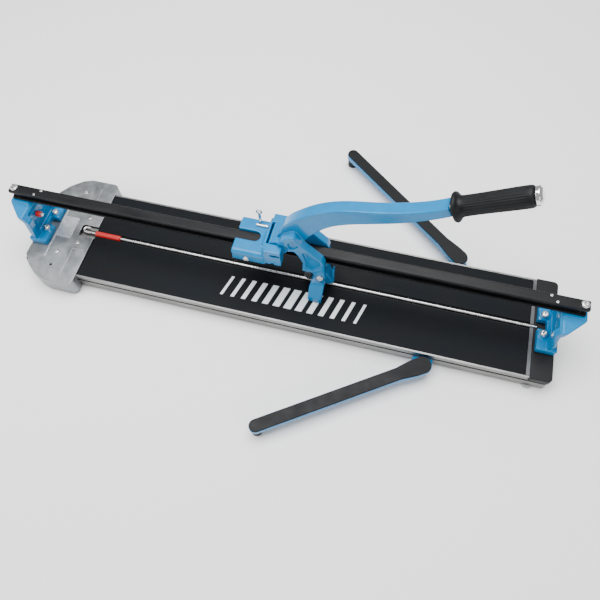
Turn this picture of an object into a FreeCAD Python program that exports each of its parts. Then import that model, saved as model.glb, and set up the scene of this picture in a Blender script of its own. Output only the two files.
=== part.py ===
import FreeCAD, Part
import math
import os

# Tile cutter: a long base with a rail above it, and a carriage whose lever scores and breaks a tile.
# Millimetres. Origin on the floor under the middle of the rail, +X along the rail, +Y to the back, +Z up.

# Overall sizes
rail_length = 1052.0
base_width = 200.0
base_left_inset = 17.0
base_right_inset = 16.0
foot_height = 5.0
tray_height = 32.0
mat_thickness = 3.0
rail_clear_height = 87.5
tile_stop_inset = 118.0

# Clearances
running_clearance = 0.05
bolt_clearance = 0.1
slide_gap = 0.5
part_gap = 0.3

# Rail section
rail_width = 19.6
rail_height = 23.0
rail_groove_height = 13.4
rail_web = 7.0

# Base tray section
tray_wall = 3.0
tray_side_wall = 9.0
tray_corner_cut = 18.0
lip_width = 3.0
side_groove_depth = 4.0
side_groove_height = 6.0
side_groove_drop = 8.0
channel_width = 13.0
channel_depth = 3.5
base_foot_radius = 10.0
left_foot_inset = 32.0
right_foot_inset = 32.0
foot_side_inset = 5.0

# Head plate
plate_thickness = 3.0
plate_width = 246.0
skirt_height = 35.0
skirt_wall = 2.5
notch_depth = 34.0
notch_width = 28.0
fence_drop = 78.0
fence_length = 150.0
fence_width = 3.0
fence_height = 2.5
cover_length = 30.0
cover_width = 49.0
cover_thickness = 1.2
head_screw_radius = 2.5
head_screw_head_radius = 4.5
head_screw_head_height = 2.6

# Breaking rod
rod_radius = 2.75
rod_past_stop = 24.0
rod_right_inset = 33.0
rod_hook_radius = 5.0
rod_hook_tip = 8.0
sleeve_radius = 5.5
sleeve_length = 54.0

# Right end of the base
end_strip_width = 6.5
end_strip_rise = 1.0
end_block_length = 38.5
end_block_rise = 2.0
end_block_side = 1.5
end_block_drop = 12.0

# Rail supports
support_foot_length = 36.0
support_foot_width = 100.0
support_foot_height = 12.0
support_boss_radius = 9.0
support_boss_rise = 2.5
support_bolt_inset = 10.0
support_bolt_spacing = 38.0
support_bolt_radius = 4.0
support_head_radius = 7.0
support_head_height = 6.0
support_reach = 56.0
support_top_width = 30.0
support_waist = 21.0
support_wall = 11.0
support_web = 4.0
support_hollow_width = 66.0
support_shelf = 9.0
support_shoulder = 47.0
support_wing_drop = 2.5
rail_bolt_inset = 9.0
rail_bolt_radius = 4.0
rail_bolt_head_radius = 7.0
rail_bolt_head_height = 4.5
buffer_radius = 6.0
buffer_length = 9.0
buffer_y = -13.0
buffer_thread = 3.0
buffer_bolt_radius = 2.0
buffer_head_radius = 3.5
buffer_head_height = 3.0

# Carriage, measured from the lever's pivot
pivot_over_rail = 15.5
pivot_radius = 6.0
pivot_x_rest = 4.0
cheek_back = 21.0
cheek_front = 10.0
cheek_inner = 22.0
cheek_outer = 40.0
cheek_top = 11.0
cheek_bottom = -28.0
block_left = -81.0
block_outer = 38.0
block_top = -11.0
block_bottom = -37.0
block_chamfer = 4.0
wall_thickness = 4.0
wall_top = 7.0
bridge_left = -48.0
pivot_blind = 3.0

# Rollers in the rail's grooves
roller_radius = 6.5
roller_width = 5.0
axle_radius = 2.5
axle_head_radius = 5.0
axle_head_height = 3.0
roller_offsets = (-54.0, -6.0)
roller_shelf_width = 9.5
roller_shelf_top = -19.5
roller_shelf_right = 4.0

# Lock screw
lock_x = -46.0
lock_y = 30.0
barrel_x = -40.5
lock_radius = 2.5
lock_ring_radius = 6.0
lock_wire = 1.4
lock_top = 21.0
barrel_radius = 3.0
barrel_length = 22.0

# Lever, measured from its pivot
handle_width = 22.0
hub_radius = 18.0
hub_half_width = 21.6
hub_flat = -10.0
bush_wall = 1.5
arm_inner = 11.5
arm_outer = 26.0
arm_narrow = 21.6
arm_widens_at = 19.0
pocket_depth = 4.0
bolt_x = 76.5
bolt_z = -61.0
foot_bolt_radius = 4.0
foot_bolt_head_radius = 6.5
foot_bolt_head_height = 4.5
boss_radius = 9.0

# Grip
grip_x = 269.0
grip_z = 175.0
grip_angle = 30.0
grip_length = 107.0
grip_radius = 15.0
flange_radius = 22.0
flange_length = 8.0
tang_radius = 8.0
cap_radius = 13.5
cap_length = 8.0

# Scoring wheel
wheel_x = 49.0
wheel_radius = 11.0
wheel_width = 2.0
wheel_rest_gap = 0.4
wheel_axle_radius = 2.0
holder_width = 12.0
holder_length = 11.0
holder_fork = 2.6

# Breaker foot, measured from its bolt
foot_hub_radius = 6.5
foot_body_half = 11.0
wing_left = -19.0
wing_right = 8.0
wing_out = 47.0
foot_sole_gap = 2.0
tab_x = 19.5
tab_thickness = 4.0
tab_front = -8.0
tab_back = 1.0
tab_top = 2.0

# Swing arms
front_arm_length = 312.0
rear_arm_length = 327.0
arm_width = 24.0
arm_height = 14.0
arm_wall = 2.5
arm_boss_radius = 17.0
arm_flare = 46.0
arm_pad_thickness = 2.5
arm_pad_inset = 0.7
arm_drop = 4.0
arm_offset = 119.0
front_arm_x = 289.5
rear_arm_x = 324.0
front_arm_angle = 34.4
rear_arm_angle = 39.0
arm_foot_radius = 10.0
bracket_length = 36.0
bracket_thickness = 5.0
bracket_flange = 4.0
bracket_screw_inset = 9.0
bracket_screw_radius = 2.5
arm_bolt_radius = 4.0
arm_bolt_head_radius = 7.0
arm_bolt_head_height = 2.5
arm_nut_height = 4.0

# Places worked out from the sizes above
base_left = base_left_inset - rail_length / 2
base_right = rail_length / 2 - base_right_inset
tile_stop_x = base_left + tile_stop_inset
rod_left = tile_stop_x - rod_past_stop
rod_right = base_right - rod_right_inset
deck = foot_height + tray_height + mat_thickness
tray_top = foot_height + tray_height
half_base = base_width / 2
rail_under = deck + rail_clear_height
rail_top = rail_under + rail_height
rail_middle = rail_under + rail_height / 2
half_rail = rail_width / 2
pivot_z = rail_top + pivot_over_rail
block_inner = half_rail + slide_gap
rod_z = tray_top + rod_radius
plate_top = deck + plate_thickness
strip_left = base_right - end_block_length - end_strip_width
block_start = base_right - end_block_length
end_block_top = deck + end_block_rise
sleeve_top = rod_z + sleeve_radius
wheel_z = sleeve_top + wheel_rest_gap + wheel_radius
left_foot_edge = base_left + support_foot_length - 1.0
right_foot_edge = base_right - support_foot_length + 1.0


def point(x, y, z):
    return FreeCAD.Vector(x, y, z)


def block(x0, x1, y0, y1, z0, z1):
    return Part.makeBox(x1 - x0, y1 - y0, z1 - z0, point(x0, y0, z0))


def disc_x(x0, x1, y, z, radius):
    return Part.makeCylinder(radius, x1 - x0, point(x0, y, z), point(1, 0, 0))


def disc_y(x, y0, y1, z, radius):
    return Part.makeCylinder(radius, y1 - y0, point(x, y0, z), point(0, 1, 0))


def disc_z(x, y, z0, z1, radius):
    return Part.makeCylinder(radius, z1 - z0, point(x, y, z0), point(0, 0, 1))


def place(plane, a, b, level):
    """A point of an outline drawn in a plane: xz at y = level, xy at z = level, yz at x = level."""
    if plane == "xz":
        return point(a, level, b)
    if plane == "xy":
        return point(a, b, level)
    return point(level, a, b)


def along(plane, distance):
    """The vector that a plane's outline is extruded by."""
    if plane == "xz":
        return point(0, distance, 0)
    if plane == "xy":
        return point(0, 0, distance)
    return point(distance, 0, 0)


def corner(before, here, after, radius):
    """The tangent points and the middle of the arc that rounds a corner, as vectors."""
    back = (before - here).normalize()
    on = (after - here).normalize()
    half = back.getAngle(on) / 2
    reach = radius / math.tan(half)
    centre = here + (back + on).normalize() * (radius / math.sin(half))
    middle = centre + (here - centre).normalize() * radius
    return here + back * reach, middle, here + on * reach


def outline(points, plane, level):
    """A closed wire through points (a, b, corner radius), with an arc at each rounded corner."""
    places = [place(plane, p[0], p[1], level) for p in points]
    runs = []
    count = len(points)
    for i in range(count):
        if points[i][2] > 0:
            runs.append(corner(places[i - 1], places[i], places[(i + 1) % count], points[i][2]))
        else:
            runs.append((places[i],))
    edges = []
    for i in range(count):
        run = runs[i]
        start = runs[(i + 1) % count][0]
        if len(run) == 3:
            edges.append(Part.Arc(run[0], run[1], run[2]).toShape())
        if run[-1].distanceToPoint(start) > 1e-6:
            edges.append(Part.LineSegment(run[-1], start).toShape())
    return Part.Wire(Part.__sortEdges__(edges))


def prism(points, plane, start, end):
    """A solid with that outline, from one level of its plane to another."""
    return Part.Face(outline(points, plane, start)).extrude(along(plane, end - start))


def mirrored(shape):
    """The shape on the other side of the centre plane."""
    return shape.mirror(point(0, 0, 0), point(0, 1, 0))


def both_sides(shape):
    return shape.fuse(mirrored(shape))


def softened(shape, radius, wanted):
    """The shape with a fillet on each edge that wanted(edge) picks."""
    edges = [e for e in shape.Edges if wanted(e)]
    return shape.makeFillet(radius, edges)


def is_upright(edge):
    box = edge.BoundBox
    return box.XLength < 1e-6 and box.YLength < 1e-6


def button_screw(x, y, under_head, length, radius, head_radius, head_height):
    """A domed screw standing on under_head, with a hexagon socket in its head."""
    shank = disc_z(x, y, under_head - length, under_head, radius)
    head = disc_z(x, y, under_head, under_head + head_height, head_radius)
    head = softened(head, head_height * 0.6, lambda e: e.BoundBox.ZMin > under_head + head_height - 1e-6)
    across = head_radius * 0.42
    turns = [math.radians(60 * i) for i in range(6)]
    hexagon = [(x + across * math.cos(t), y + across * math.sin(t), 0) for t in turns]
    top = under_head + head_height
    return head.fuse(shank).cut(prism(hexagon, "xy", top - head_height * 0.55, top + 1)).removeSplitter()


def group(shapes):
    return Part.makeCompound(shapes)


def export(name, shape):
    shape.exportStep("parts/" + name + ".step")


# ---------------------------------------------------------------- places shared by several pieces

def support_bolt_places(side):
    edge = left_foot_edge if side < 0 else right_foot_edge
    x = edge + side * support_bolt_inset
    return [(x, -support_bolt_spacing / 2), (x, support_bolt_spacing / 2)]


def head_screw_places():
    near = (tile_stop_x - 27, 30.0)
    far = (tile_stop_x - 58, 59.0)
    outer = (tile_stop_x - 61, 89.0)
    return [(near[0], -near[1]), near, (far[0], -far[1]), far, outer]


def spare_hole():
    return tile_stop_x - 58, -89.0


def rail_bolt_x(side):
    return side * (rail_length / 2 - rail_bolt_inset)


def rail_screw_places():
    inset = (52.0, 62.0)
    return [(side * (rail_length / 2 - d), y) for side in (-1, 1) for d, y in zip(inset, (-5.0, 5.0))]


def bracket_screw_places(x):
    return [x - bracket_length / 2 + bracket_screw_inset, x + bracket_length / 2 - bracket_screw_inset]


def drill(shape, places, z0, z1, radius):
    for x, y in places:
        shape = shape.cut(disc_z(x, y, z0, z1, radius))
    return shape


# ---------------------------------------------------------------- base

def left_corners(shape):
    """Cuts off the two left corners of a base piece, which stay hidden below the head plate."""
    cut = tray_corner_cut
    side = [(base_left - 1, half_base - cut - 1, 0), (base_left + cut + 1, half_base + 1, 0),
            (base_left - 1, half_base + 1, 0)]
    wedge = prism(side, "xy", foot_height - 1, deck + 1)
    return shape.cut(wedge).cut(mirrored(wedge))


def make_base_tray():
    left = base_left + tray_wall
    right = base_right - tray_wall - 2
    body = block(left, right, -half_base, half_base, foot_height, tray_top)
    for y0 in (-half_base, half_base - lip_width):
        body = body.fuse(block(left, block_start, y0, y0 + lip_width, tray_top, deck))
    spans = [(tray_side_wall, 50.0), (53.0, half_base - 10.0)]
    for y0, y1 in spans:
        cavity = block(left - 1, right + 1, y0, y1, foot_height + tray_wall, tray_top - tray_wall)
        body = body.cut(cavity).cut(mirrored(cavity))
    channel = channel_width / 2
    body = body.cut(block(left - 1, right + 1, -channel, channel, tray_top - channel_depth, tray_top + 1))
    groove_top = tray_top - side_groove_drop
    inner = half_base - side_groove_depth
    groove = block(left - 1, right + 1, inner, half_base + 1, groove_top - side_groove_height, groove_top)
    body = body.cut(groove).cut(mirrored(groove))
    screw_hole = head_screw_radius + bolt_clearance
    body = drill(body, head_screw_places(), tray_top - tray_wall - 1, tray_top + 1, screw_hole)
    bolt_hole = support_bolt_radius + bolt_clearance
    for side in (-1, 1):
        body = drill(body, support_bolt_places(side), tray_top - tray_wall - 1, tray_top + 1, bolt_hole)
    for x, y_side in ((front_arm_x, -1), (rear_arm_x, 1)):
        for sx in bracket_screw_places(x):
            y0 = half_base - 8 if y_side > 0 else -half_base - 1
            body = body.cut(disc_y(sx, y0, y0 + 9, bracket_z(), bracket_screw_radius + bolt_clearance))
    return left_corners(body).removeSplitter()


def make_left_end_cap():
    half = half_base - tray_corner_cut
    cap = block(base_left, base_left + tray_wall, -half, half, foot_height, tray_top)
    return softened(cap, 2.0, lambda e: abs(e.BoundBox.XMin - base_left) < 1e-6 and e.BoundBox.XLength < 1e-6)


def make_mat(side):
    inner = channel_width / 2
    outer = half_base - lip_width - 0.2
    left = base_left + tray_wall
    mat = block(left, strip_left - 0.2, inner, outer, tray_top, deck)
    if side < 0:
        mat = mirrored(mat)
    half_notch = notch_width / 2
    mat = mat.cut(block(tile_stop_x - notch_depth, tile_stop_x, -half_notch, half_notch, tray_top, deck + 1))
    mat = left_corners(mat)
    holes = head_screw_radius + bolt_clearance
    mat = drill(mat, head_screw_places(), tray_top - 1, deck + 1, holes)
    return drill(mat, support_bolt_places(-1), tray_top - 1, deck + 1, support_bolt_radius + bolt_clearance)


def make_rod_bed():
    half = channel_width / 2 - part_gap
    left = tile_stop_x + sleeve_length
    return block(left, strip_left - 0.2, -half, half, tray_top - channel_depth, tray_top)


def make_breaking_rod():
    """A round bar that lies in the channel and whose left end is bent back as a hook."""
    straight = disc_x(rod_left, rod_right, 0, rod_z, rod_radius)
    bend = point(rod_left, rod_hook_radius, rod_z)
    ring = Part.makeTorus(rod_hook_radius, rod_radius, bend, point(0, 0, 1))
    reach = rod_hook_radius + rod_radius + 1
    left_half = block(rod_left - reach, rod_left, rod_hook_radius - reach, rod_hook_radius + reach,
                      rod_z - reach, rod_z + reach)
    tip = disc_x(rod_left, rod_left + rod_hook_tip, 2 * rod_hook_radius, rod_z, rod_radius)
    return straight.fuse(ring.common(left_half)).fuse(tip).removeSplitter()


def make_rod_sleeve():
    start = tile_stop_x - 1
    body = disc_x(start, start + sleeve_length, 0, rod_z, sleeve_radius)
    body = softened(body, 1.5, lambda e: e.BoundBox.XLength < 1e-6)
    return body.cut(disc_x(start - 1, start + sleeve_length + 1, 0, rod_z, rod_radius + running_clearance))


def make_end_strip():
    half = half_base - lip_width - 0.1
    body = block(strip_left, block_start - 0.1, -half, half, tray_top, deck + end_strip_rise)
    slot = rod_radius + part_gap
    return body.cut(block(strip_left - 1, block_start + 1, -slot, slot, tray_top - 1, deck + 5))


def make_end_block():
    half = half_base + end_block_side
    corner_radius = 8.0
    plan = [(block_start, -half, 0), (base_right, -half, corner_radius),
            (base_right, half, corner_radius), (block_start, half, 0)]
    low = end_block_top - end_block_drop
    body = prism(plan, "xy", low, end_block_top)
    body = softened(body, 1.5, lambda e: e.BoundBox.ZMin > end_block_top - 1e-6)
    body = body.cut(block(block_start - 1, base_right - tray_wall - 1.9, -half_base - 0.1,
                          half_base + 0.1, low - 1, tray_top))
    slot = rod_radius + part_gap
    slot_end = rod_right + part_gap
    body = body.cut(block(block_start - 1, slot_end, -slot, slot, tray_top - 1, end_block_top + 1))
    return drill(body, support_bolt_places(1), tray_top - 5, end_block_top + 1,
                 support_bolt_radius + bolt_clearance)


def make_base_feet():
    """Four rubber feet under the corners and one under the middle, where the rail's load comes down."""
    side = half_base - foot_side_inset
    ends = (base_left + left_foot_inset, base_right - right_foot_inset)
    places = [(x, y) for x in ends for y in (-side, side)]
    feet = []
    for x, y in places + [(0, 0)]:
        foot = disc_z(x, y, 0, foot_height, base_foot_radius)
        feet.append(softened(foot, 1.2, lambda e: e.BoundBox.ZMax < 1e-6))
    return group(feet)


# ---------------------------------------------------------------- head plate

def plate_outline():
    edge = base_left
    half = plate_width / 2
    upper = [(tile_stop_x, half, 12), (tile_stop_x - 60, half, 6), (tile_stop_x - 80, half - 7, 10),
             (tile_stop_x - 102, half - 25, 12), (edge, half - 46, 12)]
    lower = [(x, -y, r) for x, y, r in reversed(upper)]
    return upper + lower


def inset_outline(wall):
    edge = base_left + wall
    half = plate_width / 2 - wall
    right = tile_stop_x - wall
    upper = [(right, half, 10), (tile_stop_x - 59.5, half, 4), (tile_stop_x - 79, half - 6.5, 8),
             (tile_stop_x - 100.5, half - 24, 10), (edge, half - 45, 10)]
    lower = [(x, -y, r) for x, y, r in reversed(upper)]
    return upper + lower


def fence_x():
    return tile_stop_x - fence_drop


def make_head_plate():
    sheet = prism(plate_outline(), "xy", deck, plate_top)
    sheet = softened(sheet, 1.2, lambda e: e.BoundBox.ZMin > plate_top - 1e-6)
    skirt = prism(plate_outline(), "xy", deck - skirt_height, deck)
    skirt = skirt.cut(prism(inset_outline(skirt_wall), "xy", deck - skirt_height - 1, deck))
    beside = half_base + 1.0
    skirt = skirt.cut(block(base_left - 1, tile_stop_x + 1, -beside, beside, 0, deck))
    skirt = skirt.cut(block(base_left - 1, tile_stop_x - 84, -150, 150, 0, deck))
    plate = sheet.fuse(skirt)
    half = notch_width / 2
    notch = [(tile_stop_x - notch_depth, -half, 6), (tile_stop_x + 5, -half, 0),
             (tile_stop_x + 5, half, 0), (tile_stop_x - notch_depth, half, 6)]
    plate = plate.cut(prism(notch, "xy", deck - 1, plate_top + 1))
    for side in (-1, 1):
        long_cut = block(tile_stop_x - 31, tile_stop_x - 29.5, 44, 105, plate_top - 0.6, plate_top + 1)
        short_cut = block(tile_stop_x - 31, tile_stop_x - 9, 44, 45.5, plate_top - 0.6, plate_top + 1)
        cuts = long_cut.fuse(short_cut)
        plate = plate.cut(cuts if side > 0 else mirrored(cuts))
    hole = head_screw_radius + bolt_clearance
    plate = drill(plate, head_screw_places() + [spare_hole()], deck - 1, plate_top + 1, hole)
    bolt_hole = support_bolt_radius + bolt_clearance
    plate = drill(plate, support_bolt_places(-1), deck - 1, plate_top + 1, bolt_hole)
    return plate.removeSplitter()


def make_fence_strip():
    x = fence_x()
    strip = block(x - fence_width / 2, x + fence_width / 2, -fence_length / 2, fence_length / 2,
                  plate_top, plate_top + fence_height)
    return softened(strip, 1.0, is_upright)


def make_cover_plate():
    left = fence_x() + fence_width / 2 + part_gap
    half = cover_width / 2
    plate = block(left, left + cover_length, -half, half, plate_top, plate_top + cover_thickness)
    return softened(plate, 1.5, is_upright)


def make_head_screws():
    length = plate_thickness + mat_thickness + tray_wall
    return group([button_screw(x, y, plate_top, length, head_screw_radius, head_screw_head_radius,
                               head_screw_head_height) for x, y in head_screw_places()])


# ---------------------------------------------------------------- rail and its supports

def make_rail():
    """A black bar with a groove down each side for the rollers."""
    half = half_rail
    web = rail_web / 2
    flange = (rail_height - rail_groove_height) / 2
    low = rail_under + flange
    high = rail_top - flange
    section = [(-half, rail_under, 1.5), (half, rail_under, 1.5), (half, low, 0.5), (web, low, 0),
               (web, high, 0), (half, high, 0.5), (half, rail_top, 2.0), (-half, rail_top, 2.0),
               (-half, high, 0.5), (-web, high, 0), (-web, low, 0), (-half, low, 0.5)]
    rail = prism(section, "yz", -rail_length / 2, rail_length / 2)
    plan_half = rail_length / 2
    plan = [(-plan_half, -half - 1, 4), (plan_half, -half - 1, 4), (plan_half, half + 1, 4),
            (-plan_half, half + 1, 4)]
    rail = rail.common(prism(plan, "xy", rail_under - 1, rail_top + 1))
    for side in (-1, 1):
        rail = rail.cut(disc_z(rail_bolt_x(side), 0, rail_under - 1, rail_top + 1,
                               rail_bolt_radius + bolt_clearance))
    return drill(rail, rail_screw_places(), rail_top - 4, rail_top + 1, 1.5 + bolt_clearance)


def make_rail_bolts():
    length = rail_height + 16
    return group([button_screw(rail_bolt_x(s), 0, rail_top, length, rail_bolt_radius, rail_bolt_head_radius,
                               rail_bolt_head_height) for s in (-1, 1)])


def make_rail_screws():
    return group([button_screw(x, y, rail_top, 3.5, 1.5, 2.6, 1.4) for x, y in rail_screw_places()])


def support_base(side):
    return plate_top if side < 0 else end_block_top


def support_line(side):
    """Points (distance from the foot's inner edge, height) down the casting's outer face, shelf to foot."""
    foot = support_base(side) + support_foot_height
    shelf = rail_under - support_shelf
    span = shelf - foot
    return [(support_waist + 6, shelf), (support_waist, shelf - span * 0.16),
            (support_waist + 3, foot + span * 0.5), (support_foot_length - 7, foot + span * 0.2),
            (support_foot_length - 6, foot + span * 0.04)]


def support_side_profile(side):
    """The casting seen from the front: a waisted wall that leans out to a shelf under the rail's end."""
    edge = left_foot_edge if side < 0 else right_foot_edge
    low = support_base(side)
    outer = support_line(side)
    inner = [(u - support_wall, z) for u, z in outer]
    shelf_end = [(support_reach, rail_under, 1), (support_reach, rail_under - support_shelf * 0.7, 3),
                 (support_reach - 6, rail_under - support_shelf, 4)]
    outside = [(outer[0][0], outer[0][1], 4), (outer[1][0], outer[1][1], 9), (outer[2][0], outer[2][1], 30),
               (outer[3][0], outer[3][1], 20), (outer[4][0], outer[4][1], 4)]
    foot = [(support_foot_length, low + support_foot_height - 3, 2), (support_foot_length, low, 0),
            (inner[4][0] - 2, low, 0)]
    inside = [(inner[3][0], inner[3][1], 20), (inner[2][0], inner[2][1], 30), (inner[1][0], inner[1][1], 9),
              (inner[0][0], rail_under - support_shelf * 0.6, 6), (support_waist, rail_under, 1.5)]
    return [(edge + side * u, z, r) for u, z, r in shelf_end + outside + foot + inside]


def support_plan(side):
    """The casting from above: full width over the foot, with the shelf's corners cut off on a slant."""
    edge = left_foot_edge if side < 0 else right_foot_edge
    right = [(-1, support_shoulder, 0), (support_waist + 5, support_shoulder, 6),
             (support_reach + 1, support_top_width / 2, 0)]
    shape = right + [(u, -y, r) for u, y, r in reversed(right)]
    return [(edge + side * u, y, r) for u, y, r in shape]


def support_end_profile(side):
    """The casting seen along the rail: upright in front, and leaning in below the rail at the back."""
    low = support_base(side)
    foot = low + support_foot_height
    narrow = support_top_width / 2
    return [(-support_shoulder - 1, low, 0), (support_shoulder + 1, low, 0), (support_shoulder, foot + 4, 8),
            (narrow, foot + (rail_under - foot) * 0.6, 12), (narrow, rail_under + 1, 0),
            (-support_shoulder - 1, rail_under + 1, 0)]


def make_support(side):
    """A casting that carries one end of the rail: foot, two arms with a web between them, and a shelf."""
    edge = left_foot_edge if side < 0 else right_foot_edge
    low = support_base(side)
    half = support_foot_width / 2
    wall = prism(support_side_profile(side), "xz", -support_shoulder, support_shoulder)
    wall = wall.common(prism(support_plan(side), "xy", low, rail_under + 1))
    far = support_reach + 1
    wall = wall.common(prism(support_end_profile(side), "yz", edge - far, edge + far))
    a, b = sorted((edge + side * (support_waist - 6), edge + side * far))
    for y0, y1 in ((-half, -support_top_width / 2), (support_top_width / 2, half)):
        wall = wall.cut(block(a, b, y0, y1, rail_under - support_wing_drop, rail_under + 1))
    wall = wall.cut(support_hollow(side))
    a, b = sorted((edge, edge + side * support_foot_length))
    plan = [(a, -half, 4), (b, -half, 4), (b, half, 4), (a, half, 4)]
    casting = wall.fuse(prism(plan, "xy", low, low + support_foot_height))
    boss_top = low + support_foot_height + support_boss_rise
    for x, y in support_bolt_places(side):
        casting = casting.fuse(disc_z(x, y, low, boss_top, support_boss_radius))
    pocket_half = support_bolt_spacing / 2 - support_boss_radius - 1.5
    p, q = sorted((edge - side, edge + side * (support_bolt_inset + 6)))
    casting = casting.cut(block(p, q, -pocket_half, pocket_half, low - 1, boss_top + 1))
    for x, y in support_bolt_places(side):
        casting = casting.cut(disc_z(x, y, low - 1, boss_top + 1, support_bolt_radius + bolt_clearance))
    x = rail_bolt_x(side)
    hole = disc_z(x, 0, rail_under - 17, rail_under + 1, rail_bolt_radius + bolt_clearance)
    bolt_boss = disc_z(x, 0, rail_under - 18, rail_under - support_shelf + 1, rail_bolt_radius + 4)
    casting = casting.fuse(bolt_boss).cut(hole)
    if side < 0:
        casting = casting.cut(disc_x(buffer_face() - buffer_thread, buffer_face() + 1, buffer_y, buffer_z(),
                                     buffer_bolt_radius + bolt_clearance))
    return casting.removeSplitter()


def support_hollow(side):
    """The hollow between the arms, open to the inside, which leaves a web at the back."""
    edge = left_foot_edge if side < 0 else right_foot_edge
    foot = support_base(side) + support_foot_height
    web = [(u - support_web, z) for u, z in support_line(side)]
    points = [(-2, web[0][1], 0), (web[0][0] - 3, web[0][1], 3), (web[1][0], web[1][1], 8),
              (web[2][0], web[2][1], 20), (web[3][0], web[3][1], 12), (web[3][0], foot, 0), (-2, foot, 0)]
    shape = [(edge + side * u, z, r) for u, z, r in points]
    return prism(shape, "xz", -support_hollow_width / 2, support_hollow_width / 2)


def make_support_bolts():
    bolts = []
    for side in (-1, 1):
        under = support_base(side) + support_foot_height + support_boss_rise
        length = under - tray_top + tray_wall
        for x, y in support_bolt_places(side):
            bolts.append(button_screw(x, y, under, length, support_bolt_radius, support_head_radius,
                                      support_head_height))
    return group(bolts)


def buffer_face():
    """Where the hollow's web stands at the height of the buffer, as an x."""
    return left_foot_edge - support_waist + support_web


def buffer_z():
    foot = plate_top + support_foot_height
    shelf = rail_under - support_shelf
    return shelf - (shelf - foot) * 0.16 - 13


def make_stop_buffer():
    x = buffer_face() + part_gap
    end = x + buffer_length
    body = disc_x(x, end, buffer_y, buffer_z(), buffer_radius)
    body = softened(body, 1.5, lambda e: e.BoundBox.XMin > end - 1e-6)
    return body.cut(disc_x(x - 1, end + 1, buffer_y, buffer_z(), buffer_bolt_radius + running_clearance))


def make_buffer_bolt():
    end = buffer_face() + part_gap + buffer_length
    shank = disc_x(buffer_face() - buffer_thread, end, buffer_y, buffer_z(), buffer_bolt_radius)
    head = disc_x(end, end + buffer_head_height, buffer_y, buffer_z(), buffer_head_radius)
    return shank.fuse(head).removeSplitter()


# ---------------------------------------------------------------- carriage

def px(u):
    """A length along the rail counted from the lever's pivot."""
    return pivot_x_rest + u


def pz(w):
    """A height counted from the lever's pivot."""
    return pivot_z + w


def groove_z():
    return rail_middle


def make_bearing_block():
    """The rear block beside the rail, with its upper outer edge rounded and a shelf over the right roller."""
    low = pz(block_bottom)
    top = pz(block_top)
    section = [(block_inner, low, 0.8), (block_outer, low, 2), (block_outer, top - block_chamfer, 6),
               (block_outer - block_chamfer, top, 6), (block_inner, top, 0.8)]
    body = prism(section, "yz", px(block_left), px(-cheek_back))
    body = softened(body, 2.0, lambda e: e.BoundBox.XMax < px(block_left) + 1e-6)
    shelf = block(px(-cheek_back) - 1, px(roller_shelf_right), block_inner, block_inner + roller_shelf_width,
                  low, pz(roller_shelf_top))
    return body.fuse(shelf)


def make_cheek():
    """The rear cheek that carries the lever's pivot."""
    side = [(px(-cheek_back), pz(cheek_bottom), 1.5), (px(cheek_front), pz(cheek_bottom), 2),
            (px(cheek_front), pz(cheek_top), 2.5), (px(-cheek_back), pz(cheek_top), 2.5)]
    cheek = prism(side, "xz", cheek_inner, cheek_outer)
    root = block(px(-cheek_back - 1), px(-cheek_back + wall_thickness), cheek_inner, cheek_outer - 4,
                 pz(cheek_bottom), pz(wall_top - 3))
    return cheek.fuse(root)


def make_carriage_body():
    body = both_sides(make_bearing_block())
    body = body.fuse(both_sides(make_cheek()))
    top = pz(block_top)
    low = rail_top + slide_gap
    notch = block_inner + 1
    bridge = block(px(bridge_left), px(-cheek_back), -block_inner - 1, block_inner + 1, low, top)
    body = body.fuse(bridge)
    body = body.cut(disc_z(px(bridge_left), 0, low - 1, top + 1, notch - 1))
    wall = block(px(-cheek_back - wall_thickness), px(-cheek_back + 0.5), -block_outer + 5,
                 block_outer - 5, low, pz(wall_top))
    wall = softened(wall, 1.5, lambda e: e.BoundBox.ZMin > pz(wall_top) - 1e-6)
    body = body.fuse(wall)
    behind = block(px(-cheek_back - wall_thickness - 6), px(-cheek_back), -block_inner - 6,
                   block_inner + 6, top, top + 5)
    ramp = [(px(-cheek_back - wall_thickness - 8), top, 0), (px(-cheek_back - 1), top, 0),
            (px(-cheek_back - 1), pz(wall_top) - 6, 0)]
    body = body.fuse(prism(ramp, "xz", -6, 6)).fuse(behind.common(prism(ramp, "xz", -16, 16)))
    for u in roller_offsets:
        axle = disc_y(px(u), -block_outer - 5, block_outer + 5, groove_z(), axle_radius + bolt_clearance)
        body = body.cut(axle)
    pin = disc_y(px(0), -cheek_outer + pivot_blind, cheek_outer + 1, pivot_z, pivot_radius + bolt_clearance)
    body = body.cut(pin)
    slot = [(px(-9), pz(-2.5), 2), (px(9), pz(-2.5), 2), (px(9), pz(2.5), 2), (px(-9), pz(2.5), 2)]
    body = body.cut(prism(slot, "xz", -cheek_outer - 1, -cheek_outer + pivot_blind + 0.5))
    screw_hole = lock_radius + running_clearance
    body = body.cut(disc_z(px(lock_x), lock_y, pz(block_bottom) - 1, top + 1, screw_hole))
    barrel = disc_x(px(barrel_x) - barrel_length / 2 - 0.2, px(barrel_x) + barrel_length / 2 + 0.2,
                    barrel_y(), barrel_z(), barrel_radius + bolt_clearance)
    return body.cut(barrel).removeSplitter()


def barrel_y():
    return lock_y - lock_radius - barrel_radius - 1.5


def barrel_z():
    return pz(block_top) + barrel_radius * 0.3


def make_barrel_pin():
    a = px(barrel_x) - barrel_length / 2
    barrel = disc_x(a, a + barrel_length, barrel_y(), barrel_z(), barrel_radius)
    return softened(barrel, 0.8, lambda e: e.BoundBox.XLength < 1e-6)


def make_lock_screw():
    top = pz(lock_top)
    shank_top = top - lock_ring_radius + 2 * lock_wire
    shank = disc_z(px(lock_x), lock_y, pz(block_bottom) + 2, shank_top, lock_radius)
    ring = Part.makeTorus(lock_ring_radius - lock_wire, lock_wire, point(px(lock_x), lock_y, top),
                          point(0, 1, 0))
    return shank.fuse(ring).removeSplitter()


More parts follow.
